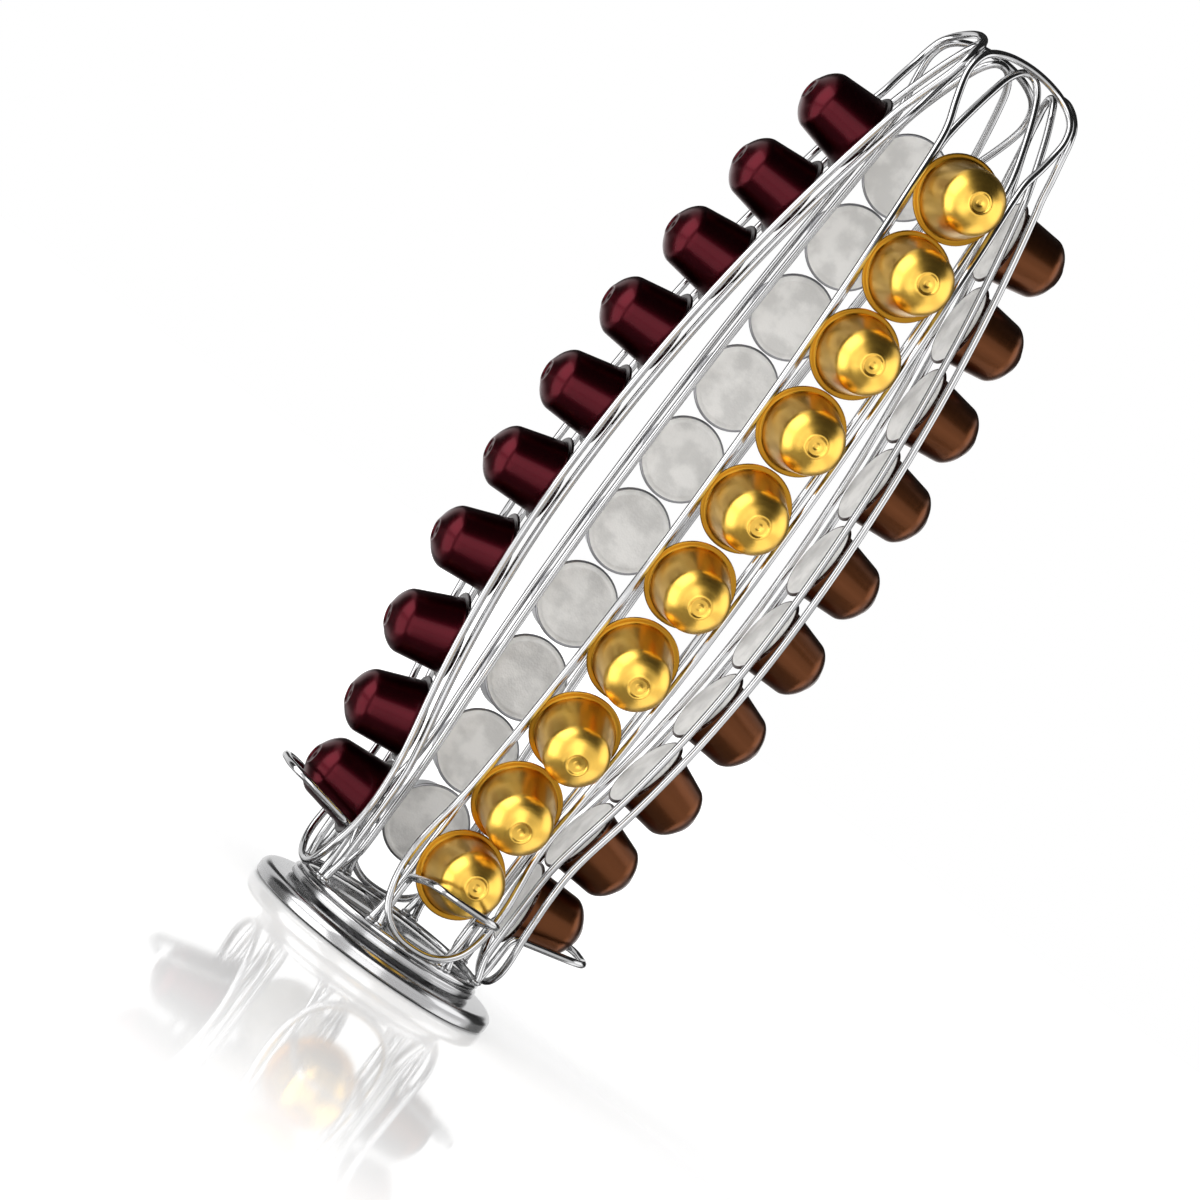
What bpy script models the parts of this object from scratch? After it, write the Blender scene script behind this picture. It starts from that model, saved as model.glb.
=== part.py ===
"""Coffee capsule dispenser: a wire tower that turns on its base and holds four columns of capsules.

Metres, +Z up, the turning axis on Z and the underside of the pad on z = 0.
Each column is drawn facing -Y and turned into place. A point in a column is
(across, out, up): across the column, out from the turning axis, up from the table.
"""
import math

import bmesh
import bpy
from mathutils import Vector

# Columns: name, turn about Z, capsule colour
COLUMNS = (
    ("front", 0.0, "gold_foil"),
    ("right", math.pi / 2, "bronze_foil"),
    ("back", math.pi, "silver_foil"),
    ("left", -math.pi / 2, "burgundy_foil"),
)
CAPSULES_PER_COLUMN = 10

# Colours, roughness and metallic share
FINISHES = {
    "gold_foil": ((0.80, 0.52, 0.10), 0.26, 1.0),
    "silver_foil": ((0.72, 0.72, 0.74), 0.28, 1.0),
    "bronze_foil": ((0.22, 0.11, 0.052), 0.32, 1.0),
    "burgundy_foil": ((0.11, 0.007, 0.018), 0.30, 1.0),
    "chrome_wire": ((0.60, 0.60, 0.61), 0.10, 1.0),
    "chrome_plate": ((0.60, 0.60, 0.61), 0.12, 1.0),
    "zinc_steel": ((0.55, 0.55, 0.57), 0.35, 1.0),
    "grey_pad": ((0.10, 0.10, 0.11), 0.80, 0.0),
}

# Wire stock and the play left between neighbours
WIRE_RADIUS = 0.0016
WIRE_RESOLUTION = 1
WIRE_STEPS = 4
WIRE_TOLERANCE = 0.00015
SEAT_GAP = 0.0003
WELD_GAP = 0.0009

# Capsule: flange, body, rounded shoulder and nose. Its lengths are measured from the lid
LID_RADIUS = 0.0180
FLANGE_RADIUS = 0.0185
FLANGE_EDGE = 0.0004
FLANGE_THICKNESS = 0.0013
BODY_ROOT_RADIUS = 0.0161
BODY_ROOT_FILLET = 0.0002
BODY_END_RADIUS = 0.0133
BODY_LENGTH = 0.0222
SHOULDER_RADIUS = 0.0117
SHOULDER_LENGTH = 0.0244
BROW_RADIUS = 0.0089
BROW_LENGTH = 0.0268
NOSE_RADIUS = 0.0060
NOSE_LENGTH = 0.0283
NOSE_RIM_RADIUS = 0.0046
CAPSULE_LENGTH = 0.0290
DIMPLE_LENGTH = 0.0282
CAPSULE_SEGMENTS = 12

# The bow of a column's front wires: out as a function of up
WIDEST_OUT = 0.0588
WIDEST_UP = 0.207
UPPER_BOW_RADIUS = 0.830
LOWER_BOW_RADIUS = 0.545
BOW_FIRST_UP = 0.085
BOW_ABOVE_TOP_SEAT = 0.0128
BOW_STATIONS = 10

# The stack: how the guides hold a flange, the outlet's capsule, and how far the
# noses of the ones above hang down within the play of their flanges
GUIDE_GRIP = 0.0005
FLANGE_PLAY = 0.0016
REAR_PLAY = 0.0002
OUTLET_LID_OUT = 0.0390
OUTLET_UP = 0.0511
OUTLET_TILT = math.radians(5.0)
OUTLET_DROP = 0.0003
CAPSULE_DROOP = math.radians(7.5)
SOLVER_HALVINGS = 40

# Floor of the carousel
FLOOR_RING_RADIUS = 0.0430
FLOOR_RING_SEGMENTS = 48
CROSS_RING_GAP = 0.0012
CROSS_HALF_WIDTH = 0.0040
CROSS_THICKNESS = 0.0012
TURNTABLE_MARGIN = 0.0006
TURNTABLE_SHEET = 0.0016
TURNTABLE_LIP = 0.0036
TURNTABLE_LIP_SHEET = 0.0012

# Front loop: the shape of its foot, and of its crown above the bow.
# In the crown the first number is how far the wire stays from the plane between two columns.
FRONT_FOOT_OVERHANG = 0.0025
FRONT_FOOT = (
    (0.0072, 0.0456, 0.0174),
    (0.0136, 0.0456, 0.0204),
    (0.0186, 0.0452, 0.0258),
    (0.0214, 0.0442, 0.0330),
    (0.0228, 0.0429, 0.0420),
    (0.0229, 0.0423, 0.0520),
    (0.0218, 0.0423, 0.0620),
    (0.0203, 0.0430, 0.0730),
)
FRONT_CROWN = (
    (0.0139, 0.0342, 0.0090),
    (0.0093, 0.0319, 0.0175),
    (0.0050, 0.0295, 0.0260),
)
FRONT_CORNER = (
    (0.0, 0.0280, 0.0325),
    (0.0, 0.0265, 0.0385),
)
FRONT_ARCH = (
    (0.0199, 0.0244, 0.0428),
    (0.0138, 0.0228, 0.0457),
    (0.0070, 0.0221, 0.0472),
    (0.0, 0.0219, 0.0477),
)

# Rear loop: behind the lids, from the floor ring to its small arch above the bow
REAR_HALF_WIDTH = 0.0170
REAR_FOOT_ACROSS = 0.0191
REAR_LEG_ROOM = 0.0010
REAR_LEG_BEND = (
    (0.0182, 0.0013, 0.0052),
    (0.0174, 0.0003, 0.0097),
    (0.0170, 0.0, 0.0152),
    (0.0170, 0.0, 0.0382),
    (0.0170, 0.0006, 0.0542),
)
REAR_CROWN = (
    (0.0160, 0.0291, 0.0090),
    (0.0135, 0.0263, 0.0200),
    (0.0106, 0.0234, 0.0305),
    (0.0076, 0.0207, 0.0390),
    (0.0040, 0.0192, 0.0442),
    (0.0, 0.0187, 0.0458),
)

# Tray: two legs on the floor ring that bend outwards into one rounded rest.
# Each side stays a little inside the flange's rim. A leg's first number is how far
# it is outside the tray's half width, and its height counts from where the flange sits.
TRAY_INSET = 0.0018
TRAY_FOOT_ACROSS = 0.0154
TRAY_LEG = (
    (-0.0004, 0.0404, -0.0164),
    (0.0, 0.0406, -0.0104),
    (0.0, 0.0408, -0.0044),
    (0.0, 0.0416, -0.0012),
    (0.0, 0.0437, 0.0006),
    (0.0, 0.0520, 0.0025),
    (0.0, 0.0610, 0.0044),
    (-0.0009, 0.0680, 0.0058),
    (-0.0043, 0.0730, 0.0065),
    (-0.0102, 0.0751, 0.0067),
)
TRAY_TIP = (0.0, 0.0753, 0.0067)
FOOT_STUB = 0.0018

# Ball bearing between the base and the turntable
BALL_RADIUS = 0.0012
BALL_PLAY = 0.00025
BALL_CIRCLE_RADIUS = 0.0270
BALL_COUNT = 14
BALL_STEPS = 2
CAGE_WIDTH = 0.0040
CAGE_THICKNESS = 0.0004
GROOVE_DEPTH = 0.00065
GROOVE_STEPS = 4
RACE_THICKNESS = 0.0013
RACE_WIDTH = 0.0090

# Centre rivet
RIVET_RADIUS = 0.0030
RIVET_PLAY = 0.0001
RIVET_HEAD_RADIUS = 0.0060
RIVET_HEAD_HEIGHT = 0.0018
RIVET_SEGMENTS = 20

# Base: a pressed plate with a rolled rim, and the pad under it
BASE_RADIUS = 0.0572
BASE_TOP = 0.0075
BASE_SHEET = 0.0015
BASE_RIM_UP = 0.0008
BASE_ROLL = 0.0036
PAD_MARGIN = 0.0017
PAD_WIDTH = 0.0100
LATHE_SEGMENTS = 40

CREASE_ANGLE = math.radians(35.0)

# Heights and widths that follow from the ones above
CAPSULE_PITCH = FLANGE_RADIUS + SEAT_GAP + FLANGE_RADIUS
LID_SETBACK = FLANGE_THICKNESS + FLANGE_PLAY
REAR_CHORD = math.sqrt(FLANGE_RADIUS ** 2 - REAR_HALF_WIDTH ** 2)
REAR_SETBACK = LID_SETBACK + WIRE_RADIUS + REAR_PLAY + REAR_CHORD * math.sin(CAPSULE_DROOP)
FRONT_HALF_WIDTH = FLANGE_RADIUS - GUIDE_GRIP + WIRE_RADIUS
STACK_LOWEST_UP = OUTLET_UP + CAPSULE_PITCH - OUTLET_DROP
RACE_TOP = BASE_TOP + SEAT_GAP + RACE_THICKNESS
BALL_UP = RACE_TOP - GROOVE_DEPTH + BALL_PLAY + BALL_RADIUS
TURNTABLE_UNDER = BALL_UP + BALL_RADIUS + BALL_PLAY - GROOVE_DEPTH
TURNTABLE_TOP = TURNTABLE_UNDER + TURNTABLE_SHEET
TRAY_HALF_WIDTH = FLANGE_RADIUS - TRAY_INSET
FLOOR_RING_UP = TURNTABLE_TOP + SEAT_GAP + WIRE_RADIUS
FOOT_UP = FLOOR_RING_UP + WIRE_RADIUS + SEAT_GAP
TURNTABLE_RADIUS = FLOOR_RING_RADIUS + WIRE_RADIUS + TURNTABLE_MARGIN
CROSS_REACH = FLOOR_RING_RADIUS - WIRE_RADIUS - CROSS_RING_GAP
RIVET_HOLE_RADIUS = RIVET_RADIUS + RIVET_PLAY
RIM_TO_TRAY = FLANGE_RADIUS + WIRE_RADIUS + SEAT_GAP
TRAY_SEAT_UP = OUTLET_UP - math.sqrt(RIM_TO_TRAY ** 2 - TRAY_HALF_WIDTH ** 2)
CORNER_ASIDE = (WIRE_RADIUS + WELD_GAP + WIRE_RADIUS) / math.sqrt(2)
CAPSULE_PROFILE = (
    (0.0, 0.0),
    (LID_RADIUS, 0.0),
    (FLANGE_RADIUS, FLANGE_EDGE),
    (FLANGE_RADIUS, FLANGE_THICKNESS),
    (BODY_ROOT_RADIUS, FLANGE_THICKNESS + BODY_ROOT_FILLET),
    (BODY_END_RADIUS, BODY_LENGTH),
    (SHOULDER_RADIUS, SHOULDER_LENGTH),
    (BROW_RADIUS, BROW_LENGTH),
    (NOSE_RADIUS, NOSE_LENGTH),
    (NOSE_RIM_RADIUS, CAPSULE_LENGTH),
    (0.0, DIMPLE_LENGTH),
)


def clear_scene():
    """Take out everything the new file came with."""
    for item in list(bpy.data.objects):
        bpy.data.objects.remove(item, do_unlink=True)


def finish(name):
    """A Principled material with the named colour, roughness and metallic share."""
    found = bpy.data.materials.get(name)
    if found:
        return found
    colour, roughness, metallic = FINISHES[name]
    material = bpy.data.materials.new(name)
    material.use_nodes = True
    shader = material.node_tree.nodes["Principled BSDF"]
    shader.inputs["Base Color"].default_value = (*colour, 1.0)
    shader.inputs["Roughness"].default_value = roughness
    shader.inputs["Metallic"].default_value = metallic
    return material


def add_object(name, data, finish_name):
    """Put finished data in the scene under its node's name."""
    data.materials.append(finish(finish_name))
    item = bpy.data.objects.new(name, data)
    bpy.context.scene.collection.objects.link(item)
    return item


def mesh_from(bm, name):
    """Turn a bmesh into a smooth-shaded mesh with its normals facing out."""
    bmesh.ops.recalc_face_normals(bm, faces=bm.faces)
    mesh = bpy.data.meshes.new(name)
    bm.to_mesh(mesh)
    bm.free()
    mesh.shade_smooth()
    mesh.set_sharp_from_angle(angle=CREASE_ANGLE)
    return mesh


def arc(centre, radius, start, end, steps):
    """Points on an arc in a plane, from one angle to the other."""
    angles = [start + (end - start) * step / steps for step in range(steps + 1)]
    return [(centre[0] + radius * math.cos(a), centre[1] + radius * math.sin(a)) for a in angles]


def turned_mesh(name, profile, segments, closed):
    """Spin (radius, height) points about Z. A radius of zero makes a pole."""
    bm = bmesh.new()
    rings = []
    for radius, height in profile:
        if radius == 0.0:
            rings.append([bm.verts.new((0.0, 0.0, height))])
            continue
        ring = []
        for step in range(segments):
            angle = 2 * math.pi * step / segments
            place = (radius * math.sin(angle), -radius * math.cos(angle), height)
            ring.append(bm.verts.new(place))
        rings.append(ring)
    pairs = list(zip(rings, rings[1:]))
    if closed:
        pairs.append((rings[-1], rings[0]))
    for lower, upper in pairs:
        join_rings(bm, lower, upper, segments)
    return mesh_from(bm, name)


def join_rings(bm, lower, upper, segments):
    """Faces between two rings, or between a ring and a pole."""
    for step in range(segments):
        after = (step + 1) % segments
        if len(lower) == 1:
            bm.faces.new((lower[0], upper[step], upper[after]))
        elif len(upper) == 1:
            bm.faces.new((lower[step], upper[0], lower[after]))
        else:
            bm.faces.new((lower[step], upper[step], upper[after], lower[after]))


def bow_radius(up):
    """The radius of the bow's arc at a height."""
    return UPPER_BOW_RADIUS if up >= WIDEST_UP else LOWER_BOW_RADIUS


def bow_out(up):
    """How far out the front wires' centre line is at a height."""
    radius = bow_radius(up)
    return WIDEST_OUT - radius + math.sqrt(radius ** 2 - (up - WIDEST_UP) ** 2)


def bow_lean(up):
    """The nose-up tilt of a capsule that sits on the bow at a height."""
    return math.asin((up - WIDEST_UP) / bow_radius(up))


def bow_end():
    """The height where the bow ends and the crown starts."""
    return capsule_seats()[0][1] + BOW_ABOVE_TOP_SEAT


def bow_run(half_width, setback):
    """Points up the bow, set back from the front wires."""
    rise = (bow_end() - BOW_FIRST_UP) / BOW_STATIONS
    heights = [BOW_FIRST_UP + rise * step for step in range(BOW_STATIONS + 1)]
    return [(half_width, bow_out(up) - setback, up) for up in heights]


def raised(points, height):
    """Points moved up by a height."""
    return [(across, out, up + height) for across, out, up in points]


def ring_out(across):
    """How far out the floor ring's centre line is at a place across the column."""
    return math.sqrt(FLOOR_RING_RADIUS ** 2 - across ** 2)


def foot(across):
    """The straight stub of a wire that stands on the floor ring."""
    out = ring_out(across)
    return [(across, out, FOOT_UP), (across, out, FOOT_UP + FOOT_STUB)]


def spline_point(before, start, end, after, share):
    """A point between two others on a smooth curve through all four."""
    point = []
    for p0, p1, p2, p3 in zip(before, start, end, after):
        slope_in = (p2 - p0) / 2
        slope_out = (p3 - p1) / 2
        square = share ** 2
        cube = share ** 3
        value = (2 * cube - 3 * square + 1) * p1 + (cube - 2 * square + share) * slope_in
        value += (3 * square - 2 * cube) * p2 + (cube - square) * slope_out
        point.append(value)
    return tuple(point)


def smooth_path(points, looped):
    """Points on a smooth curve through the given ones."""
    count = len(points)
    path = []
    for step in range(count if looped else count - 1):
        ids = [step - 1, step, step + 1, step + 2]
        if looped:
            ids = [number % count for number in ids]
        else:
            ids = [min(max(number, 0), count - 1) for number in ids]
        chosen = [points[number] for number in ids]
        for part in range(WIRE_STEPS):
            path.append(spline_point(*chosen, part / WIRE_STEPS))
    if not looped:
        path.append(points[-1])
    return path


def thinned(path):
    """Leave out the points that a straight run passes within the tolerance."""
    start = Vector(path[0])
    line = Vector(path[-1]) - start
    worst, split = (0.0, 0)
    for number, point in enumerate(path[1:-1], start=1):
        offset = Vector(point) - start
        share = min(max(offset.dot(line) / line.length_squared, 0.0), 1.0)
        miss = (offset - line * share).length
        if miss > worst:
            worst, split = (miss, number)
    if worst <= WIRE_TOLERANCE:
        return [path[0], path[-1]]
    return thinned(path[:split + 1])[:-1] + thinned(path[split:])


def wire(name, points, looped, turn):
    """Sweep the wire's round section along a path in a column, then turn it into place."""
    path = smooth_path(points, looped)
    middle = len(path) // 2
    path = thinned(path[:middle + 1])[:-1] + thinned(path[middle:])
    curve = bpy.data.curves.new(name, "CURVE")
    curve.dimensions = "3D"
    curve.bevel_depth = WIRE_RADIUS
    curve.bevel_resolution = WIRE_RESOLUTION
    curve.use_fill_caps = True
    spline = curve.splines.new("POLY")
    spline.points.add(len(path) - 1)
    spline.use_cyclic_u = looped
    spline.use_smooth = True
    for point, (across, out, up) in zip(spline.points, path):
        point.co = (across, -out, up, 1.0)
    item = add_object(name, curve, "chrome_wire")
    item.rotation_euler.z = turn
    return item


def front_loop(column, turn):
    """The closed wire in front of the flanges: foot, bow, crown and back down."""
    contact = WIRE_RADIUS + SEAT_GAP + WIRE_RADIUS
    lift = math.sqrt(contact ** 2 - FRONT_FOOT_OVERHANG ** 2)
    half = [(0.0, FLOOR_RING_RADIUS + FRONT_FOOT_OVERHANG, FLOOR_RING_UP + lift)]
    half += list(FRONT_FOOT) + bow_run(FRONT_HALF_WIDTH, 0.0)
    crown = [(out - aside, out, up) for aside, out, up in FRONT_CROWN]
    crown += [(out - CORNER_ASIDE, out, up) for _, out, up in FRONT_CORNER]
    half += raised(crown + list(FRONT_ARCH), bow_end())
    other = [(-across, out, up) for across, out, up in reversed(half[1:-1])]
    return wire(f"{column}_guide_loop", half + other, True, turn)


def rear_loop(column, turn):
    """The wire behind the lids, standing on the floor ring by both ends."""
    leg_out = OUTLET_LID_OUT - WIRE_RADIUS - REAR_LEG_ROOM
    half = foot(REAR_FOOT_ACROSS)
    half += [(across, leg_out + out, FOOT_UP + up) for across, out, up in REAR_LEG_BEND]
    half += bow_run(REAR_HALF_WIDTH, REAR_SETBACK)
    half += raised(REAR_CROWN, bow_end())
    return wire(f"{column}_rear_loop", half + other_side(half), False, turn)


def tray(column, turn):
    """The wire rest that holds the lowest capsule at the outlet."""
    side = [(TRAY_HALF_WIDTH + aside, out, up) for aside, out, up in TRAY_LEG]
    half = foot(TRAY_FOOT_ACROSS) + raised(side + [TRAY_TIP], TRAY_SEAT_UP)
    return wire(f"{column}_tray", half + other_side(half), False, turn)


def other_side(half):
    """The mirrored half of a wire, back from its middle point."""
    return [(-across, out, up) for across, out, up in reversed(half[:-1])]


def floor_ring():
    """The ring that the loops and trays are welded to."""
    curve = bpy.data.curves.new("floor_ring", "CURVE")
    curve.dimensions = "3D"
    curve.bevel_depth = WIRE_RADIUS
    curve.bevel_resolution = WIRE_RESOLUTION
    spline = curve.splines.new("POLY")
    spline.points.add(FLOOR_RING_SEGMENTS - 1)
    spline.use_cyclic_u = True
    for step, point in enumerate(spline.points):
        angle = 2 * math.pi * step / FLOOR_RING_SEGMENTS
        x = FLOOR_RING_RADIUS * math.cos(angle)
        y = FLOOR_RING_RADIUS * math.sin(angle)
        point.co = (x, y, FLOOR_RING_UP, 1.0)
    return add_object("floor_ring", curve, "chrome_wire")


def floor_cross():
    """Two crossed flat bars, cut for the rivet, that carry the floor ring."""
    bottom = TURNTABLE_TOP + SEAT_GAP
    near = CROSS_HALF_WIDTH
    far = CROSS_REACH
    quarter = ((near, near), (near, far), (-near, far))
    outline = []
    for turns in range(len(COLUMNS)):
        for x, y in quarter:
            angle = turns * math.pi / 2
            across = x * math.cos(angle) - y * math.sin(angle)
            along = x * math.sin(angle) + y * math.cos(angle)
            outline.append((across, along, bottom))
    bm = bmesh.new()
    face = bm.faces.new([bm.verts.new(place) for place in outline])
    grown = bmesh.ops.extrude_face_region(bm, geom=[face])
    raised = [part for part in grown["geom"] if isinstance(part, bmesh.types.BMVert)]
    bmesh.ops.translate(bm, verts=raised, vec=(0.0, 0.0, CROSS_THICKNESS))
    item = add_object("floor_cross", mesh_from(bm, "floor_cross"), "chrome_plate")
    cut = item.modifiers.new("rivet_hole", "BOOLEAN")
    cut.operation = "DIFFERENCE"
    cut.solver = "EXACT"
    cut.object = rivet_cutter(bottom + CROSS_THICKNESS / 2)
    return item


def rivet_cutter(up):
    """A plain cylinder that cuts the rivet's hole."""
    bm = bmesh.new()
    bmesh.ops.create_cone(
        bm,
        cap_ends=True,
        segments=RIVET_SEGMENTS,
        radius1=RIVET_HOLE_RADIUS,
        radius2=RIVET_HOLE_RADIUS,
        depth=RIVET_HEAD_RADIUS,
    )
    cutter = helper("rivet_cutter", bm)
    cutter.location.z = up
    return cutter


def helper(name, bm):
    """A shape that only works on others through a Boolean, drawn as wire."""
    item = bpy.data.objects.new(name, mesh_from(bm, name))
    bpy.context.scene.collection.objects.link(item)
    item.hide_render = True
    item.display_type = "WIRE"
    return item


def turntable():
    """The round plate under the tower, with a turned-down lip and the upper ball groove."""
    under = TURNTABLE_UNDER
    lip_inner = TURNTABLE_RADIUS - TURNTABLE_LIP_SHEET
    lip_up = TURNTABLE_TOP - TURNTABLE_LIP
    chamfer = TURNTABLE_LIP_SHEET / 2
    profile = [
        (RIVET_HOLE_RADIUS, TURNTABLE_TOP),
        (TURNTABLE_RADIUS - chamfer, TURNTABLE_TOP),
        (TURNTABLE_RADIUS, TURNTABLE_TOP - chamfer),
        (TURNTABLE_RADIUS, lip_up),
        (lip_inner, lip_up),
        (lip_inner, under),
        *groove_points(under, False),
        (RIVET_HOLE_RADIUS, under),
    ]
    mesh = turned_mesh("turntable", profile, LATHE_SEGMENTS, True)
    return add_object("turntable", mesh, "chrome_plate")


def groove_points(level, opens_up):
    """The groove a ball runs in, cut from a level face, outer edge first."""
    radius = BALL_RADIUS + BALL_PLAY
    lean = math.asin(abs(level - BALL_UP) / radius)
    start, end = (lean, math.pi - lean)
    if opens_up:
        start, end = (-lean, lean - math.pi)
    return arc((BALL_CIRCLE_RADIUS, BALL_UP), radius, start, end, GROOVE_STEPS)


def lower_race():
    """The flat ring on the base that the balls run on."""
    bottom = BASE_TOP + SEAT_GAP
    inner = BALL_CIRCLE_RADIUS - RACE_WIDTH / 2
    outer = BALL_CIRCLE_RADIUS + RACE_WIDTH / 2
    profile = [
        (inner, bottom),
        (outer, bottom),
        (outer, RACE_TOP),
        *groove_points(RACE_TOP, True),
        (inner, RACE_TOP),
    ]
    mesh = turned_mesh("lower_race", profile, LATHE_SEGMENTS, True)
    return add_object("lower_race", mesh, "zinc_steel")


def ball_cage():
    """The thin ring that spaces the balls, joined to them so that they run as one."""
    inner = BALL_CIRCLE_RADIUS - CAGE_WIDTH / 2
    outer = BALL_CIRCLE_RADIUS + CAGE_WIDTH / 2
    bottom = BALL_UP - CAGE_THICKNESS / 2
    top = BALL_UP + CAGE_THICKNESS / 2
    profile = [(inner, bottom), (outer, bottom), (outer, top), (inner, top)]
    mesh = turned_mesh("ball_cage", profile, LATHE_SEGMENTS, True)
    item = add_object("ball_cage", mesh, "zinc_steel")
    join = item.modifiers.new("balls", "BOOLEAN")
    join.operation = "UNION"
    join.solver = "EXACT"
    join.object = ball_shapes()
    return item


def ball_shapes():
    """The ring of balls, ready to be joined to their cage."""
    bm = bmesh.new()
    for step in range(BALL_COUNT):
        angle = 2 * math.pi * step / BALL_COUNT
        made = bmesh.ops.create_icosphere(bm, subdivisions=BALL_STEPS, radius=BALL_RADIUS)
        x = BALL_CIRCLE_RADIUS * math.cos(angle)
        y = BALL_CIRCLE_RADIUS * math.sin(angle)
        bmesh.ops.translate(bm, verts=made["verts"], vec=(x, y, BALL_UP))
    return helper("ball_shapes", bm)


def centre_rivet():
    """The rivet on the turning axis, with a domed head at each end."""
    edge = RIVET_HEAD_RADIUS
    bevel = RIVET_HEAD_HEIGHT / 2
    grip_bottom = BASE_TOP - BASE_SHEET - SEAT_GAP
    grip_top = TURNTABLE_TOP + SEAT_GAP + CROSS_THICKNESS + SEAT_GAP
    bottom = grip_bottom - RIVET_HEAD_HEIGHT
    top = grip_top + RIVET_HEAD_HEIGHT
    profile = [
        (0.0, bottom),
        (edge - bevel, bottom),
        (edge, bottom + bevel),
        (edge, grip_bottom),
        (RIVET_RADIUS, grip_bottom),
        (RIVET_RADIUS, grip_top),
        (edge, grip_top),
        (edge, top - bevel),
        (edge - bevel, top),
        (0.0, top),
    ]
    mesh = turned_mesh("centre_rivet", profile, RIVET_SEGMENTS, False)
    return add_object("centre_rivet", mesh, "zinc_steel")


def base_plate():
    """The pressed round base: flat top, rolled rim, hollow underneath."""
    roll_out = (BASE_RADIUS - BASE_ROLL, BASE_TOP - BASE_ROLL)
    inner_roll = BASE_ROLL - BASE_SHEET
    outside = arc(roll_out, BASE_ROLL, math.pi / 2, 0.0, GROOVE_STEPS)
    inside = arc(roll_out, inner_roll, 0.0, math.pi / 2, GROOVE_STEPS)
    profile = [
        (RIVET_HOLE_RADIUS, BASE_TOP),
        *outside,
        (BASE_RADIUS, BASE_RIM_UP),
        (BASE_RADIUS - BASE_SHEET, BASE_RIM_UP),
        *inside,
        (RIVET_HOLE_RADIUS, BASE_TOP - BASE_SHEET),
    ]
    mesh = turned_mesh("base_plate", profile, LATHE_SEGMENTS, True)
    return add_object("base_plate", mesh, "chrome_plate")


def base_pad():
    """The soft ring under the base that stands on the table."""
    top = BASE_TOP - BASE_SHEET - SEAT_GAP
    outer = BASE_RADIUS - BASE_SHEET - PAD_MARGIN
    inner = outer - PAD_WIDTH
    profile = [(inner, 0.0), (outer, 0.0), (outer, top), (inner, top)]
    mesh = turned_mesh("base_pad", profile, LATHE_SEGMENTS, True)
    return add_object("base_pad", mesh, "grey_pad")


def seat_above(up):
    """The height of the next capsule, whose rim just clears the one at this height."""
    out = bow_out(up)
    low = up
    high = up + CAPSULE_PITCH
    for _ in range(SOLVER_HALVINGS):
        middle = (low + high) / 2
        if math.hypot(bow_out(middle) - out, middle - up) < CAPSULE_PITCH:
            low = middle
        else:
            high = middle
    return low


def capsule_seats():
    """Lid centre and tilt of each capsule in a column, from the top down.

    The one above the outlet stands square to the bow, the others droop."""
    seats = [(OUTLET_LID_OUT, OUTLET_UP, OUTLET_TILT)]
    up = STACK_LOWEST_UP
    droop = 0.0
    while len(seats) < CAPSULES_PER_COLUMN:
        seats.append((bow_out(up) - LID_SETBACK, up, bow_lean(up) - droop))
        up = seat_above(up)
        droop = CAPSULE_DROOP
    return list(reversed(seats))


def capsule(name, finish_name, turn, seat):
    """One capsule: flange, tapered body and nose, on its lid's centre."""
    out, up, tilt = seat
    mesh = turned_mesh(name, CAPSULE_PROFILE, CAPSULE_SEGMENTS, False)
    item = add_object(name, mesh, finish_name)
    item.location = (out * math.sin(turn), -out * math.cos(turn), up)
    item.rotation_euler = (math.pi / 2 - tilt, 0.0, turn)
    return item


def column(name, turn, finish_name):
    """One column: its three wires and its stack of capsules."""
    front_loop(name, turn)
    rear_loop(name, turn)
    tray(name, turn)
    for number, seat in enumerate(capsule_seats(), start=1):
        capsule(f"{name}_capsule_{number:02d}", finish_name, turn, seat)


def build():
    """Base and bearing first, then the carousel's floor, then the columns."""
    clear_scene()
    base_pad()
    base_plate()
    lower_race()
    ball_cage()
    centre_rivet()
    turntable()
    floor_cross()
    floor_ring()
    for name, turn, finish_name in COLUMNS:
        column(name, turn, finish_name)


build()
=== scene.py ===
"""Looks of the coffee capsule dispenser: its wires, capsules and base, and the studio."""
import math

import bmesh
import bpy
from mathutils import Matrix, Quaternion, Vector


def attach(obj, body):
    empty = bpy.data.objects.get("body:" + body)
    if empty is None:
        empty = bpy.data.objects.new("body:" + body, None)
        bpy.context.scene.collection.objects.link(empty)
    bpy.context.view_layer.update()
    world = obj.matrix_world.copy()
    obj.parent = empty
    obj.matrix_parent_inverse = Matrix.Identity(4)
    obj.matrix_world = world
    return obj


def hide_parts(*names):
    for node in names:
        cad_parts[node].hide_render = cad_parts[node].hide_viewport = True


bl_info = {
    "name": "Coffee Capsule Dispenser",
    "version": (1, 0, 0),
    "blender": (4, 5, 0),
    "location": "View3D > Sidebar > Dispenser",
    "description": "Builds the wires, capsules, base and studio of a turning capsule tower",
    "category": "Add Mesh",
}

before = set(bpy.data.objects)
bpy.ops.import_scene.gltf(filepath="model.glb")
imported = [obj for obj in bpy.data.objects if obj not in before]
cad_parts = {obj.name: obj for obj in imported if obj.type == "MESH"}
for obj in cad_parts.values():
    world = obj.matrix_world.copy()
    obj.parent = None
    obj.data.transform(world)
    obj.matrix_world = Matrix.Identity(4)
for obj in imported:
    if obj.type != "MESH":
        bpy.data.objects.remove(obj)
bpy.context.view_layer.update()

MM = 0.001

# Columns: name, turn about Z, colour of the capsules
COLUMNS = (
    ("front", 0.0, "gold"),
    ("right", math.pi / 2, "bronze"),
    ("back", math.pi, "silver"),
    ("left", -math.pi / 2, "burgundy"),
)
CAPSULES_PER_COLUMN = 10

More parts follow.
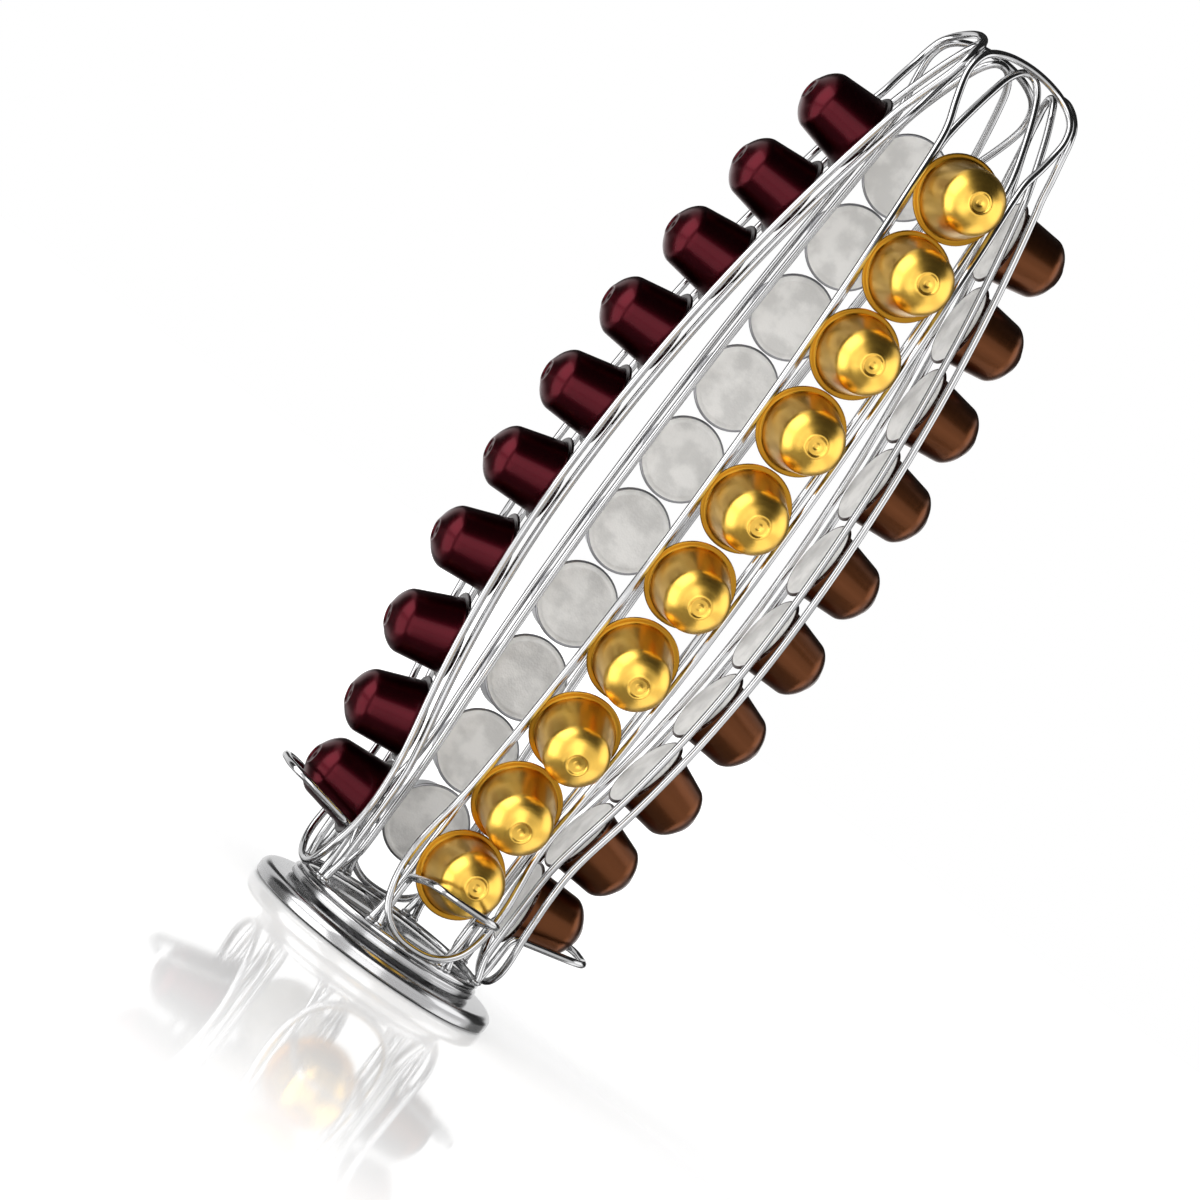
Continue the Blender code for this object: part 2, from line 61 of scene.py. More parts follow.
# The bow of the front wires in mm: two arcs that meet where the tower is widest
WIDEST_OUT = 58.8
WIDEST_UP = 207.0
UPPER_BOW = 830.0
LOWER_BOW = 545.0
BOW_FIRST_UP = 85.0
BOW_LAST_UP = 397.0
BOW_STATIONS = 16

# Points of half a wire in mm: across the column, out from the turning axis, up from the table
FRONT_HALF_WIDTH = 19.6
FRONT_FOOT = (
    (0.0, 45.5, 16.65),
    (7.2, 45.6, 17.4),
    (13.6, 45.6, 20.4),
    (18.6, 45.2, 25.8),
    (21.4, 44.2, 33.0),
    (22.8, 42.9, 42.0),
    (22.9, 42.3, 52.0),
    (21.8, 42.3, 62.0),
    (20.3, 43.0, 73.0),
)
FRONT_CROWN = (
    (20.3, 34.2, 406.0),
    (22.6, 31.9, 414.5),
    (24.5, 29.5, 423.0),
    (25.1, 28.0, 429.5),
    (23.6, 26.5, 435.5),
    (19.9, 24.4, 439.8),
    (13.8, 22.8, 442.7),
    (7.0, 22.1, 444.2),
    (0.0, 21.9, 444.7),
)
REAR_HALF_WIDTH = 17.0
REAR_SETBACK = 5.65
REAR_FOOT = (
    (19.1, 38.53, 16.1),
    (19.1, 38.53, 17.9),
    (18.2, 37.7, 21.3),
    (17.4, 36.7, 25.8),
    (17.0, 36.4, 31.3),
    (17.0, 36.4, 54.3),
    (17.0, 37.0, 70.3),
)
REAR_CROWN = (
    (16.0, 29.1, 406.0),
    (13.5, 26.3, 417.0),
    (10.6, 23.4, 427.5),
    (7.6, 20.7, 436.0),
    (4.0, 19.2, 441.2),
    (0.0, 18.7, 442.8),
)
TRAY_HALF = (
    (15.4, 40.15, 16.1),
    (15.4, 40.15, 17.9),
    (16.3, 40.4, 23.0),
    (16.7, 40.6, 29.0),
    (16.7, 40.8, 35.0),
    (16.7, 41.6, 38.2),
    (16.7, 43.7, 40.0),
    (16.7, 52.0, 41.9),
    (16.7, 61.0, 43.8),
    (15.8, 68.0, 45.2),
    (12.4, 73.0, 45.9),
    (6.5, 75.1, 46.1),
    (0.0, 75.3, 46.1),
)
FLOOR_RING_RADIUS = 43.0
FLOOR_RING_UP = 14.2
FLOOR_RING_POINTS = 24
STEPS_PER_POINT = 5
# Points of a mesh that are this close are one, in metres
SAME_POINT = 0.000001

# Weld beads of a column in mm: middle, half sizes, and the direction that each lies along
WELDS = (
    ((19.1, 38.5, 16.3), (2.3, 2.3, 1.3), (0.0, 0.0, 1.0)),
    ((-19.1, 38.5, 16.3), (2.3, 2.3, 1.3), (0.0, 0.0, 1.0)),
    ((15.4, 40.15, 16.3), (2.3, 2.3, 1.3), (0.0, 0.0, 1.0)),
    ((-15.4, 40.15, 16.3), (2.3, 2.3, 1.3), (0.0, 0.0, 1.0)),
    ((0.0, 44.2, 15.4), (1.2, 1.2, 3.6), (1.0, 0.0, 0.0)),
    ((0.0, 20.3, 443.7), (1.1, 1.1, 2.8), (1.0, 0.0, 0.0)),
    ((26.0, 26.0, 432.2), (1.0, 1.0, 3.8), (-0.2, -0.2, 0.96)),
)
WELD_LUMPS = 0.06

# Edges sharper than this many degrees stay sharp
WIRE_CREASE = 50.0
WELD_CREASE = 60.0
CAPSULE_CREASE = 48.0
PLATE_CREASE = 40.0

# Capsule, from the middle of the lid round to the nose, in mm: radius, distance from the lid
LID_PROFILE = (
    (2.0, -0.16),
    (6.0, -0.13),
    (10.5, -0.04),
    (14.2, 0.09),
    (15.2, 0.15),
    (15.7, 0.13),
    (16.1, 0.04),
    (16.7, 0.0),
    (17.5, 0.0),
)
SHELL_PROFILE = (
    (17.8, 0.03),
    (18.2, 0.10),
    (18.42, 0.28),
    (18.5, 0.6),
    (18.45, 0.95),
    (18.25, 1.18),
    (17.9, 1.28),
    (17.4, 1.26),
    (16.9, 1.25),
    (16.5, 1.33),
    (16.2, 1.55),
    (16.05, 1.95),
    (15.95, 2.6),
    (15.76, 4.0),
    (15.09, 9.0),
    (14.27, 15.0),
    (13.60, 20.0),
    (13.45, 21.0),
    (13.26, 21.8),
    (12.98, 22.5),
    (12.58, 23.2),
    (12.05, 23.95),
    (11.4, 24.7),
    (10.5, 25.55),
    (9.5, 26.35),
    (8.4, 27.05),
    (7.2, 27.7),
    (6.2, 28.2),
    (5.5, 28.6),
    (5.0, 28.87),
    (4.6, 29.0),
    (4.2, 28.9),
    (3.9, 28.6),
    (3.6, 28.34),
    (3.1, 28.26),
    (1.8, 28.24),
    (1.4, 28.1),
    (1.0, 27.85),
    (0.5, 27.8),
)
# The foil's faces lie within this radius and height, in mm
FOIL_RADIUS = 17.6
FOIL_HEIGHT = 0.2
# The attribute that holds a capsule's own coordinates
PLACE = "capsule_place"

# Seats of a column's capsules, in mm: the lowest one lies on its tray, the others stand on the bow
OUTLET_SEAT = (39.0, 51.1, math.radians(5.0))
STACK_LOWEST_UP = 88.1
LID_SETBACK = 2.9
CAPSULE_PITCH = 37.3
CAPSULE_DROOP = math.radians(7.5)
SEAT_HALVINGS = 40

# Painted shade: the lacquer's colour is darkened on the flange to stand for the shade and dark
# reflections that fall there. It gives way to the body's colour between these heights in mm
PAINTED_FLANGE_SHADE = 0.52
PAINTED_SHADE_POWER = 1.5
PAINTED_SHADE_FROM = 1.35
PAINTED_SHADE_TO = 2.4
# The lacquer wears off the rim between these radii in mm
WEAR_FROM = 18.2
WEAR_TO = 18.5
BARE_METAL = (0.62, 0.60, 0.57)
ZINC_GREYS = ((0.40, 0.40, 0.42), (0.60, 0.60, 0.62))
RUBBER_GREYS = ((0.055, 0.055, 0.058), (0.11, 0.11, 0.115))

# Base, turntable and rivet, in mm
BASE_TOP = 7.5
BASE_SHEET = 1.5
BASE_ROLL = 3.6
BASE_RIM_UP = 0.8
BASE_FLAT_MARGIN = 12.0
HOLE = 3.1
HOLE_FLAT_MARGIN = 12.0
TABLE_TOP = 12.3
TABLE_UNDER = 10.7
TABLE_LIP_UP = 8.7
TABLE_LIP_SHEET = 1.2
TABLE_ROUND = 0.9
TABLE_FLAT_MARGIN = 9.0
RIVET_SHAFT = 3.0
RIVET_HEAD = 6.0
RIVET_GRIP_BOTTOM = 5.7
RIVET_GRIP_TOP = 14.1
RIVET_TOP = 15.9
RIVET_SIDES = 48
# Angles in radians of a rivet head's rings, from its edge to near its pole
RIVET_DOME = (0.15, 0.45, 0.75, 1.05, 1.3, 1.5)

# The point that the lamps and cards stand round and face, in metres
LOOK_AT = Vector((0.0, 0.0, 0.22))
# Soft lamps: turn from the front and lift in degrees, distance and size in metres, power in watts
LAMPS = (
    ("key_lamp", -75.0, 20.0, 1.5, 1.3, 14.5),
    ("fill_lamp", 76.0, 20.0, 1.4, 1.0, 3.4),
    ("front_lamp", -14.0, 10.0, 1.6, 0.9, 4.2),
)
# Dark cards that shape what the metal mirrors: turn from the front and lift in degrees,
# distance, width and height in metres
CARDS = (
    ("card_left", -118.0, 2.0, 1.3, 0.90, 1.7),
    ("card_right", 120.0, 2.0, 1.3, 0.90, 1.7),
    ("card_front", 8.0, 52.0, 1.4, 2.6, 1.6),
    ("card_above", 163.0, 88.0, 1.3, 2.0, 1.6),
    ("card_back", 163.0, 34.0, 1.3, 1.9, 1.6),
)
CARD_GREY = 0.02
# The soft edge of a card, as a share of its width and height
CARD_EDGE = 0.12

# The point that the camera looks at, beside the turning axis and up, and its sensor, in mm
AIM_ASIDE = -8.9
AIM_UP = 171.0
SENSOR_WIDTH = 36.0

# Floor, in metres. It glows to white, less so near the tower, which keeps the shadow
FLOOR_SIZE = 6.0
FLOOR_GREYS = ((0.80, 0.80, 0.80), (0.82, 0.82, 0.82))
FLOOR_ROUGHNESS = 0.6
FLOOR_GLOW = 0.60
GLOW_RADII = (0.15, 1.2)
GLOW_SHARES = (0.5, 1.0)
# Its polish. The seen image starts to fade at the near radius and ends at the far one, and both
# shrink from in front of the tower to behind it
POLISH_COLOUR = (0.97, 0.97, 0.97, 1.0)
POLISH_ROUGHNESS = 0.06
POLISH_IOR = 2.0
FRONT_TO_BACK = (-0.15, 0.05)
IMAGE_NEAR_RADII = (0.15, 0.11)
IMAGE_FAR_RADII = (0.79, 0.155)
# Under the base the image is weaker
BASE_IMAGE_RADII = (0.10, 0.22)
BASE_IMAGE_SHARES = (0.5, 1.0)
# What the object itself mirrors of the polish
MIRRORED_RADII = (0.9, 1.5)
MIRRORED_SHARES = (0.8, 0.0)


class WireSettings(bpy.types.PropertyGroup):
    """Size and finish of the wires."""

    radius: bpy.props.FloatProperty(
        name="Wire radius",
        description="Radius of the round wire",
        default=1.6 * MM,
        unit="LENGTH",
    )
    sides: bpy.props.IntProperty(
        name="Roundness",
        description="How finely the wire's section is rounded",
        default=5,
        min=2,
        max=12,
    )
    colour: bpy.props.FloatVectorProperty(
        name="Chrome colour",
        description="Colour of the polished chrome",
        default=(0.47, 0.47, 0.475),
        subtype="COLOR",
    )
    roughness: bpy.props.FloatProperty(
        name="Chrome roughness",
        description="Roughness of the polished chrome",
        default=0.08,
        min=0.0,
        max=1.0,
    )


class CapsuleSettings(bpy.types.PropertyGroup):
    """Resolution and colours of the capsules."""

    sides: bpy.props.IntProperty(
        name="Sides",
        description="Faces round a capsule",
        default=60,
        min=12,
        max=96,
    )
    gold: bpy.props.FloatVectorProperty(
        name="Gold",
        description="Lacquer colour of the front column",
        default=(0.82, 0.50, 0.085),
        subtype="COLOR",
    )
    bronze: bpy.props.FloatVectorProperty(
        name="Bronze",
        description="Lacquer colour of the right column",
        default=(0.125, 0.041, 0.014),
        subtype="COLOR",
    )
    silver: bpy.props.FloatVectorProperty(
        name="Silver",
        description="Lacquer colour of the back column",
        default=(0.72, 0.72, 0.74),
        subtype="COLOR",
    )
    burgundy: bpy.props.FloatVectorProperty(
        name="Burgundy",
        description="Lacquer colour of the left column",
        default=(0.058, 0.004, 0.008),
        subtype="COLOR",
    )
    foil: bpy.props.FloatVectorProperty(
        name="Lid foil",
        description="Colour of the foil on the lids",
        default=(0.93, 0.915, 0.885),
        subtype="COLOR",
    )


class BaseSettings(bpy.types.PropertyGroup):
    """Sizes of the base and of the turntable."""

    base_radius: bpy.props.FloatProperty(
        name="Base radius",
        description="Radius of the base plate",
        default=57.2 * MM,
        unit="LENGTH",
    )
    turntable_radius: bpy.props.FloatProperty(
        name="Turntable radius",
        description="Radius of the turning plate",
        default=45.2 * MM,
        unit="LENGTH",
    )
    sides: bpy.props.IntProperty(
        name="Sides",
        description="Faces round the base",
        default=144,
        min=32,
        max=256,
    )


class StageSettings(bpy.types.PropertyGroup):
    """Camera, light and floor."""

    azimuth: bpy.props.FloatProperty(
        name="Azimuth",
        description="Where the camera stands round the tower",
        default=math.radians(-17.0),
        subtype="ANGLE",
    )
    distance: bpy.props.FloatProperty(
        name="Distance",
        description="From the turning axis to the camera",
        default=1.87,
        unit="LENGTH",
    )
    height: bpy.props.FloatProperty(
        name="Height",
        description="Height of the camera",
        default=0.249,
        unit="LENGTH",
    )
    roll: bpy.props.FloatProperty(
        name="Roll",
        description="How far the picture leans",
        default=math.radians(36.4),
        subtype="ANGLE",
    )
    lens: bpy.props.FloatProperty(
        name="Lens",
        description="Focal length in mm",
        default=138.3,
        min=10.0,
    )
    daylight: bpy.props.FloatProperty(
        name="Daylight",
        description="Strength of the white surroundings on the object",
        default=0.85,
        min=0.0,
    )
    mirror: bpy.props.FloatProperty(
        name="Floor mirror",
        description="How strongly the floor mirrors the tower",
        default=1.2,
        min=0.0,
    )


class Term:
    """A shader socket that takes part in sums."""

    def __init__(self, finish, socket):
        self.finish = finish
        self.socket = socket

    def __add__(self, other):
        return self.finish.maths("ADD", self, other)

    __radd__ = __add__

    def __mul__(self, other):
        return self.finish.maths("MULTIPLY", self, other)

    __rmul__ = __mul__

    def __sub__(self, other):
        return self.finish.maths("SUBTRACT", self, other)

    def __rsub__(self, other):
        return self.finish.maths("SUBTRACT", other, self)


class Finish:
    """A node tree of a material or a world, written in Python expressions."""

    def __init__(self, data):
        self.data = data
        data.use_nodes = True
        self.tree = data.node_tree
        self.tree.nodes.clear()

    def node(self, kind, settings, sockets, output=0):
        """A node with its settings, the values or links of its sockets, and one of its outputs."""
        node = self.tree.nodes.new(kind)
        for key, value in settings.items():
            setattr(node, key, value)
        for key, value in sockets.items():
            if isinstance(value, Term):
                self.tree.links.new(value.socket, node.inputs[key])
            else:
                node.inputs[key].default_value = value
        return Term(self, node.outputs[output]) if node.outputs else None

    def maths(self, operation, first, second):
        """A sum on two values, each a number or a term."""
        return self.node("ShaderNodeMath", {"operation": operation}, {0: first, 1: second})

    def places(self, scale=(1.0, 1.0, 1.0)):
        """Object coordinates, stretched."""
        spot = self.node("ShaderNodeTexCoord", {}, {}, "Object")
        return self.node("ShaderNodeMapping", {}, {"Vector": spot, "Scale": scale})

    def own_places(self, scale=(1.0, 1.0, 1.0)):
        """A capsule's own coordinates, from the attribute on its mesh, stretched."""
        spot = self.node("ShaderNodeAttribute", {"attribute_name": PLACE}, {}, "Vector")
        return self.node("ShaderNodeMapping", {}, {"Vector": spot, "Scale": scale})

    def part(self, vector, axis):
        """One of a vector's three numbers."""
        return self.node("ShaderNodeSeparateXYZ", {}, {0: vector}, axis)

    def length(self, vector):
        """How long a vector is."""
        return self.node("ShaderNodeVectorMath", {"operation": "LENGTH"}, {0: vector}, "Value")

    def noise(self, vector, scale, detail):
        """Plain noise."""
        sockets = {"Vector": vector, "Scale": scale, "Detail": detail}
        return self.node("ShaderNodeTexNoise", {}, sockets)

    def between(self, value, low, high, start=0.0, end=1.0):
        """A value moved smoothly from one range to another, and held there."""
        sockets = {
            "Value": value,
            "From Min": low,
            "From Max": high,
            "To Min": start,
            "To Max": end,
        }
        return self.node("ShaderNodeMapRange", {"interpolation_type": "SMOOTHSTEP"}, sockets)

    def tint(self, factor, first, second):
        """A mix of two colours, each a colour or a term."""
        ends = [value if isinstance(value, Term) else (*value, 1.0) for value in (first, second)]
        sockets = {0: factor, 6: ends[0], 7: ends[1]}
        return self.node("ShaderNodeMix", {"data_type": "RGBA"}, sockets, 2)

    def bump(self, height, strength, distance):
        """A normal from a height."""
        sockets = {"Height": height, "Strength": strength, "Distance": distance}
        return self.node("ShaderNodeBump", {}, sockets)

    def ray(self, kind):
        """1 for rays of one kind, 0 for the others."""
        return self.node("ShaderNodeLightPath", {}, {}, kind)

    def seen(self):
        """1 for what the camera, a gloss or clear glass looks at."""
        looked = self.maths("MAXIMUM", self.ray("Is Camera Ray"), self.ray("Is Glossy Ray"))
        return self.maths("MAXIMUM", looked, self.ray("Is Transmission Ray"))

    def principled(self, **sockets):
        """The Principled shader. Socket names are written with underscores."""
        entries = {key.replace("_", " "): value for key, value in sockets.items()}
        return self.node("ShaderNodeBsdfPrincipled", {}, entries)

    def shown(self, surface, kind="ShaderNodeOutputMaterial"):
        """Link a shader to the output."""
        self.node(kind, {}, {"Surface": surface})
        return self.data

    def close(self, **sockets):
        """The Principled shader, linked to the output."""
        return self.shown(self.principled(**sockets))


def shades(colour, *shares):
    """Darker and lighter shades of a colour."""
    return [tuple(min(part * share, 1.0) for part in colour) for share in shares]


def once(name, make, *values):
    """A finish that is made the first time it is asked for."""
    found = bpy.data.materials.get(name)
    return found or make(Finish(bpy.data.materials.new(name)), *values)


def chrome(finish, wires):
    """Polished chrome wire with a faint haze and fine drawing marks."""
    dark, light = shades(wires.colour, 0.93, 1.0)
    haze = finish.noise(finish.places(), scale=70.0, detail=4.0)
    marks = finish.noise(finish.places((1.0, 1.0, 0.05)), scale=2400.0, detail=2.0)
    return finish.close(
        Base_Color=finish.tint(haze, dark, light),
        Roughness=haze * wires.roughness + wires.roughness * 0.5,
        Metallic=1.0,
        Normal=finish.bump(marks, strength=0.04, distance=0.05 * MM),
    )


def weld_metal(finish, wires):
    """Chromed weld beads, rippled and a little duller than the wire."""
    dark, light = shades(wires.colour, 0.72, 1.0)
    ripple = finish.noise(finish.places(), scale=1700.0, detail=3.0)
    return finish.close(
        Base_Color=finish.tint(ripple, dark, light),
        Roughness=ripple * 0.16 + 0.10,
        Metallic=1.0,
        Normal=finish.bump(ripple, strength=0.35, distance=0.3 * MM),
    )


def plate_chrome(finish, wires):
    """Pressed and polished plate, with marks that run round the turning axis."""
    dark, light = shades(wires.colour, 0.90, 1.0)
    radius = finish.length(finish.places((1.0, 1.0, 0.0)))
    sockets = {"W": radius * 2200.0, "Detail": 2.0}
    rings = finish.node("ShaderNodeTexNoise", {"noise_dimensions": "1D"}, sockets)
    haze = finish.noise(finish.places(), scale=45.0, detail=4.0)
    return finish.close(
        Base_Color=finish.tint(haze, dark, light),
        Roughness=haze * 0.08 + rings * 0.06 + 0.11,
        Metallic=1.0,
        Normal=finish.bump(rings, strength=0.05, distance=0.1 * MM),
    )


def zinc(finish):
    """Zinc-plated steel, mottled and duller than the chrome."""
    mottle = finish.noise(finish.places(), scale=900.0, detail=5.0)
    return finish.close(
        Base_Color=finish.tint(mottle, *ZINC_GREYS),
        Roughness=mottle * 0.2 + 0.22,
        Metallic=1.0,
        Normal=finish.bump(mottle, strength=0.1, distance=0.1 * MM),
    )


def rubber(finish):
    """Dark moulded rubber with a fine grain."""
    grain = finish.noise(finish.places(), scale=3500.0, detail=3.0)
    return finish.close(
        Base_Color=finish.tint(grain, *RUBBER_GREYS),
        Roughness=grain * 0.2 + 0.65,
        Normal=finish.bump(grain, strength=0.3, distance=0.2 * MM),
    )


def lacquer(finish, colour):
    """Coloured lacquer on drawn aluminium: faint rings, orange peel, worn metal at the rim,
    and painted shade on the flange.
    """
    rings = finish.noise(finish.own_places((60.0, 60.0, 2400.0)), scale=1.0, detail=3.0)
    cloud = finish.noise(finish.own_places(), scale=120.0, detail=3.0)
    peel = finish.noise(finish.own_places(), scale=700.0, detail=2.0)
    scuffs = finish.noise(finish.own_places(), scale=900.0, detail=4.0)
    radius = finish.length(finish.own_places((1.0, 1.0, 0.0)))
    rim = finish.between(radius, WEAR_FROM * MM, WEAR_TO * MM)
    worn = rim * finish.between(scuffs, 0.50, 0.62)
    body = finish.tint(cloud * 0.6 + rings * 0.4, *shades(colour, 0.80, 1.06))
    # Painted shade: a darker copy of the lacquer colour on the flange, standing for the shade and
    # dark reflections there
    flange = tuple(PAINTED_FLANGE_SHADE * part**PAINTED_SHADE_POWER for part in colour)
    height = finish.part(finish.own_places(), "Z")
    body = finish.tint(finish.between(height, PAINTED_SHADE_FROM * MM, PAINTED_SHADE_TO * MM), flange, body)
    return finish.close(
        Base_Color=finish.tint(worn * 0.2, body, BARE_METAL),
        Roughness=rings * 0.10 + worn * 0.12 + 0.25,
        Metallic=1.0,
        Coat_Weight=0.09,
        Coat_Roughness=0.12,
        Normal=finish.bump(rings * 0.4 + peel * 0.3, strength=0.10, distance=0.22 * MM),
    )


def lid_foil(finish, foil):
    """Aluminium lid foil: fine embossed dots, soft creases and dull patches."""
    spot = finish.own_places()
    dots = finish.node("ShaderNodeTexVoronoi", {}, {"Vector": spot, "Scale": 1000.0})
    creases = finish.noise(spot, scale=150.0, detail=5.0)
    clouds = finish.noise(finish.places(), scale=95.0, detail=5.0)
    patches = finish.between(clouds, 0.36, 0.62)
    return finish.close(
        Base_Color=finish.tint(patches, *shades(foil, 0.80, 1.0)),
        Roughness=creases * 0.2 + 0.30,
        Metallic=0.45,
        Normal=finish.bump(dots * 0.3 + creases * 0.9, strength=0.20, distance=0.6 * MM),
    )


def bow_out(up):
    """How far out the front wires' centre line is at a height, in mm."""
    radius = UPPER_BOW if up >= WIDEST_UP else LOWER_BOW
    return WIDEST_OUT - radius + math.sqrt(radius**2 - (up - WIDEST_UP) ** 2)


def bow_lean(up):
    """Nose-up tilt of a capsule that sits on the bow at a height."""
    radius = UPPER_BOW if up >= WIDEST_UP else LOWER_BOW
    return math.asin((up - WIDEST_UP) / radius)


def bow_run(half_width, setback):
    """Points up the bow, set back from the front wires."""
    rise = (BOW_LAST_UP - BOW_FIRST_UP) / BOW_STATIONS
    heights = [BOW_FIRST_UP + rise * step for step in range(BOW_STATIONS + 1)]
    return [(half_width, bow_out(up) - setback, up) for up in heights]


def capsule_seats():
    """How far out and up each lid's centre is, and its tilt, from the top capsule down.

    The next capsule up is where two rims just touch, which halving steps find. The capsule
    above the outlet stands square to the bow, and the ones above it droop.
    """
    seats = [OUTLET_SEAT]
    up = STACK_LOWEST_UP
    droop = 0.0
    while len(seats) < CAPSULES_PER_COLUMN:
        seats.append((bow_out(up) - LID_SETBACK, up, bow_lean(up) - droop))
        low, high = up, up + CAPSULE_PITCH
        for _ in range(SEAT_HALVINGS):
            middle = (low + high) / 2
            reach = math.hypot(bow_out(middle) - bow_out(up), middle - up)
            low, high = (middle, high) if reach < CAPSULE_PITCH else (low, middle)
        up = low
        droop = CAPSULE_DROOP
    return list(reversed(seats))


def arc(centre, radius, start, end, steps):
    """Points on an arc in mm, from one angle in degrees to another."""
    turns = [math.radians(start + (end - start) * step / steps) for step in range(steps + 1)]
    across, up = centre
    return [(across + radius * math.cos(turn), up + radius * math.sin(turn)) for turn in turns]


def smooth_path(points, looped):
    """Points on a smooth curve through the given ones, from cubics with shared slopes."""
    count = len(points)
    path = []
    for step in range(count if looped else count - 1):
        ids = [step - 1, step, step + 1, step + 2]
        ids = [n % count if looped else min(max(n, 0), count - 1) for n in ids]
        p0, p1, p2, p3 = (Vector(points[n]) for n in ids)
        for part in range(STEPS_PER_POINT):
            t = part / STEPS_PER_POINT
            spot = (2 * t**3 - 3 * t**2 + 1) * p1 + (t**3 - 2 * t**2 + t) * (p2 - p0) / 2
            spot += (3 * t**2 - 2 * t**3) * p2 + (t**3 - t**2) * (p3 - p1) / 2
            path.append(spot)
    if not looped:
        path.append(Vector(points[-1]))
    return path


def both_sides(half, looped):
    """A wire's other side, mirrored and joined to the first."""
    rest = half[1:-1] if looped else half[:-1]
    return list(half) + [(-across, out, up) for across, out, up in reversed(rest)]


def clear_selection():
    """Nothing selected, and object mode."""
    if bpy.context.object and bpy.context.object.mode != "OBJECT":
        bpy.ops.object.mode_set(mode="OBJECT")
    bpy.ops.object.select_all(action="DESELECT")


def pick(piece):
    """Select one piece and nothing else."""
    clear_selection()
    piece.select_set(True)
    bpy.context.view_layer.objects.active = piece


def settle(piece, matrix, looks, body, slot, *nodes):
    """Move a piece's mesh into place, dress it, and let it ride and stand for its nodes."""
    piece.data.transform(matrix @ piece.matrix_world)
    piece.matrix_world = Matrix.Identity(4)
    for look in looks:
        piece.data.materials.append(look)
    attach(piece, body)
    if nodes:
        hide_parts(*nodes)


def bend_wire(name, points, looped):
    """A round wire bent along points in mm, as a mesh."""
    wires = bpy.context.scene.dispenser_wires
    clear_selection()
    bpy.ops.curve.primitive_nurbs_path_add(location=(0.0, 0.0, 0.0))
    piece = bpy.context.object
    piece.name = name
    curve = piece.data
    curve.splines.clear()
    spline = curve.splines.new("POLY")
    path = smooth_path(points, looped)
    spline.points.add(len(path) - 1)
    spline.use_cyclic_u = looped
    spline.use_smooth = True
    for point, spot in zip(spline.points, path):
        point.co = (spot[0] * MM, -spot[1] * MM, spot[2] * MM, 1.0)
    curve.bevel_depth = wires.radius
    curve.bevel_resolution = wires.sides
    curve.use_fill_caps = not looped
    bpy.ops.object.convert(target="MESH")
    piece = bpy.context.object
    bpy.ops.object.mode_set(mode="EDIT")
    bpy.ops.mesh.select_all(action="SELECT")
    bpy.ops.mesh.remove_doubles(threshold=SAME_POINT)
    bpy.ops.mesh.normals_make_consistent(inside=False)
    bpy.ops.object.mode_set(mode="OBJECT")
    bpy.ops.object.shade_smooth_by_angle(angle=math.radians(WIRE_CREASE))
    return piece


def turn_profile(name, profile, sides, closed, crease):
    """A round piece: a circle, extruded and scaled from one radius and height in mm to the next.

    A closed profile is a ring with a hole. An open one starts and ends with a capped pole.
    """
    clear_selection()
    radius, height = profile[0]
    bpy.ops.mesh.primitive_circle_add(
        vertices=sides,
        radius=radius * MM,
        fill_type="NOTHING" if closed else "TRIFAN",
        location=(0.0, 0.0, height * MM),
    )
    piece = bpy.context.object
    piece.name = name
    bpy.ops.object.transform_apply(location=True)
    bpy.ops.object.mode_set(mode="EDIT")
    bpy.ops.mesh.select_mode(type="EDGE")
    bpy.ops.mesh.select_all(action="SELECT")
    if not closed:
        select_rim(piece)
    for after_radius, after_height in profile[1:]:
        bpy.ops.mesh.extrude_region_move(
            TRANSFORM_OT_translate={"value": (0.0, 0.0, (after_height - height) * MM)}
        )
        share = after_radius / radius
        bpy.ops.transform.resize(value=(share, share, 1.0))
        radius, height = after_radius, after_height
    if closed:
        bpy.ops.mesh.select_all(action="DESELECT")
        bpy.ops.mesh.select_non_manifold()
        bpy.ops.mesh.bridge_edge_loops()
    else:
        bpy.ops.mesh.edge_face_add()
        bpy.ops.mesh.poke()
    bpy.ops.mesh.select_all(action="SELECT")
    bpy.ops.mesh.normals_make_consistent(inside=False)
    bpy.ops.object.mode_set(mode="OBJECT")
    pick(piece)
    bpy.ops.object.shade_smooth_by_angle(angle=math.radians(crease))
    return piece


def select_rim(piece):
    """Select only the outer edge of a filled circle."""
    grid = bmesh.from_edit_mesh(piece.data)
    bpy.ops.mesh.select_all(action="DESELECT")
    for edge in grid.edges:
        edge.select = edge.is_boundary
    grid.select_flush_mode()
    bmesh.update_edit_mesh(piece.data)


def copy_of(piece, name):
    """A copy with its own mesh."""
    other = piece.copy()
    other.data = piece.data.copy()
    other.name = name
    bpy.context.scene.collection.objects.link(other)
    return other


def drop(piece):
    """Take out a shape that has only been copied."""
    bpy.data.objects.remove(piece, do_unlink=True)


class DISPENSER_OT_wires(bpy.types.Operator):
    """Guide loops, rear loops and trays of every column"""

    bl_idname = "dispenser.wires"
    bl_label = "Column Wires"

    def execute(self, context):
        look = once("chrome_wire_look", chrome, context.scene.dispenser_wires)
        front = [*FRONT_FOOT, *bow_run(FRONT_HALF_WIDTH, 0.0), *FRONT_CROWN]
        rear = [*REAR_FOOT, *bow_run(REAR_HALF_WIDTH, REAR_SETBACK), *REAR_CROWN]
        halves = {
            "guide_loop": (front, True),
            "rear_loop": (rear, False),
            "tray": (TRAY_HALF, False),
        }
        for part, (half, looped) in halves.items():
            shape = bend_wire(f"{part}_shape", both_sides(half, looped), looped)
            for column, turn, _ in COLUMNS:
                piece = copy_of(shape, f"{column}_{part}_wire")
                place = Matrix.Rotation(turn, 4, "Z")
                settle(piece, place, [look], "carousel", "chrome_wire", f"{column}_{part}")
            drop(shape)
        return {"FINISHED"}


